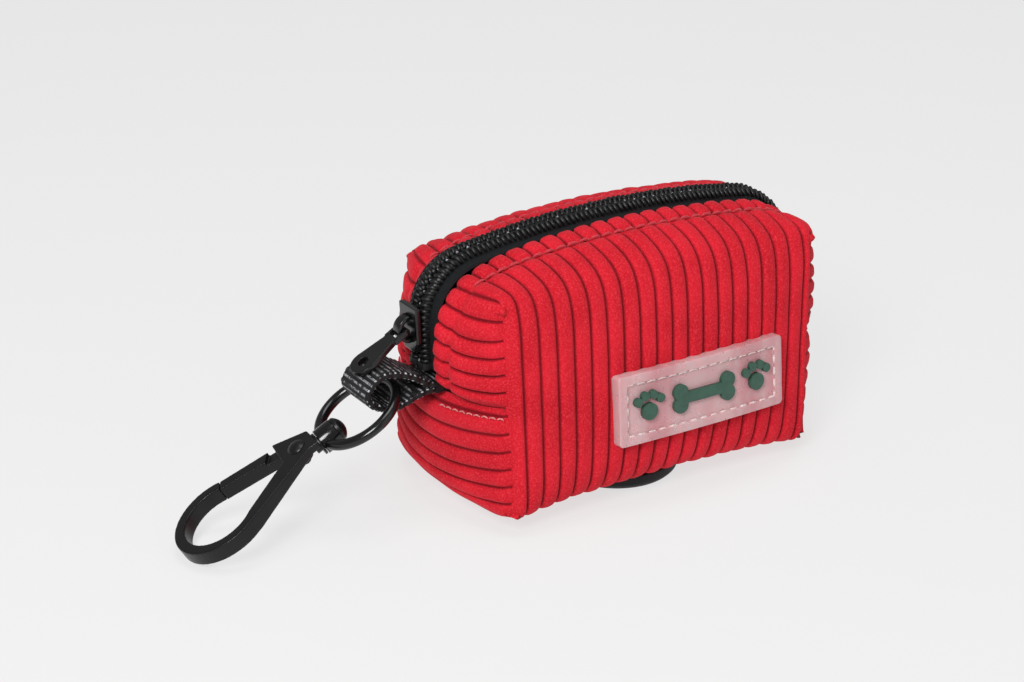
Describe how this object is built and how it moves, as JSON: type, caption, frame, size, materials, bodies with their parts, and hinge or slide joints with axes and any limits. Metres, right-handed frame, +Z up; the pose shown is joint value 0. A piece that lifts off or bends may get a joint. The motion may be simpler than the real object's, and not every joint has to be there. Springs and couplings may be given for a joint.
{
  "type": "dog waste bag holder",
  "caption": "Zipped corduroy pouch that holds a roll of dog waste bags, with a rubber dispensing port, a webbing loop and a swivel snap hook.",
  "frame": {"origin": "under the middle of the pouch, on the face of the port flange that it stands on", "axes": "+Z up, +X along the pouch away from the hook, -Y out of the front face with the badge"},
  "size_m": [0.1555, 0.0563, 0.0626],
  "materials": {
    "corduroy": "wide-wale cotton corduroy",
    "lining": "plain woven polyester",
    "seam_tape": "woven binding tape",
    "zip_tape": "herringbone zip tape",
    "zip_coil": "satin nylon coil",
    "zip_stop": "fused nylon",
    "red_thread": "sewing thread",
    "pale_thread": "sewing thread",
    "port_rubber": "moulded soft rubber",
    "badge_clear": "frosted clear soft plastic",
    "badge_ink": "raised dark green print",
    "webbing": "ribbed nylon webbing",
    "ring_metal": "glossy black plated zinc",
    "hook_metal": "satin black painted zinc",
    "spring_steel": "spring wire",
    "cardboard": "kraft board",
    "bag_film": "thin film in a tight roll"
  },
  "bodies": {
    "pouch": {"bottom_panel": "corduroy", "front_panel": "corduroy", "back_panel": "corduroy", "end_panel_left": "corduroy", "end_panel_right": "corduroy", "inner_lining": "lining", "end_seam_tapes": "seam_tape", "zip_tape_front": "zip_tape", "zip_tape_back": "zip_tape", "zip_coil_front": "zip_coil", "zip_coil_back": "zip_coil", "zip_end_stops": "zip_stop", "zip_topstitch": "red_thread", "end_seam_stitch": "pale_thread", "port_grommet": "port_rubber", "port_backing_ring": "port_rubber", "badge_plate": "badge_clear", "badge_motif": "badge_ink", "badge_stitches": "pale_thread", "strap_anchor": "webbing", "anchor_stitches": "pale_thread"},
    "roll": {"roll_core": "cardboard", "bag_roll": "bag_film"},
    "strap": {"strap_loop": "webbing"},
    "ring": {"ring_bow": "ring_metal"},
    "hook": {"hook_frame": "hook_metal", "swivel_post": "hook_metal", "gate_rivet": "hook_metal"},
    "gate": {"gate_lever": "hook_metal", "gate_spring": "spring_steel"},
    "slider": {"slider_body": "ring_metal", "slider_bridge": "ring_metal"},
    "pull": {"pull_tab": "ring_metal"}
  },
  "joints": [
    {"name": "strap_flex", "type": "hinge", "parent": "pouch", "child": "strap", "pos_m": [-0.04923, 0, 0.0306], "axis": [0, 1, 0], "range_deg": [-60, 0], "stiffness_Nm_per_rad": 0.02},
    {"name": "ring_swing", "type": "hinge", "parent": "strap", "child": "ring", "pos_m": [-0.05553, 0, 0.0313], "axis": [0, 1, 0], "range_deg": [0, 60]},
    {"name": "hook_swivel", "type": "hinge", "parent": "ring", "child": "hook", "pos_m": [-0.05553, 0, 0.0313], "axis": [-0.8458, 0.077, -0.528], "continuous": true},
    {"name": "gate_open", "type": "hinge", "parent": "hook", "child": "gate", "pos_m": [-0.07635, 0.0026, 0.01826], "axis": [-0.5258, 0.0479, 0.8493], "range_deg": [0, 28], "stiffness_Nm_per_rad": 0.01, "springref_deg": -17.19},
    {"name": "slider_run", "type": "hinge", "parent": "pouch", "child": "slider", "pos_m": [-0.0341, 0, 0.04437], "axis": [0, 1, 0], "range_deg": [0, 80]},
    {"name": "pull_swing", "type": "hinge", "parent": "slider", "child": "pull", "pos_m": [-0.0524, 0, 0.04347], "axis": [0, 1, 0], "range_deg": [0, 90]},
    {"name": "roll_spin", "type": "hinge", "parent": "pouch", "child": "roll", "pos_m": [0, 0, 0.0238], "axis": [1, 0, 0], "continuous": true}
  ]
}
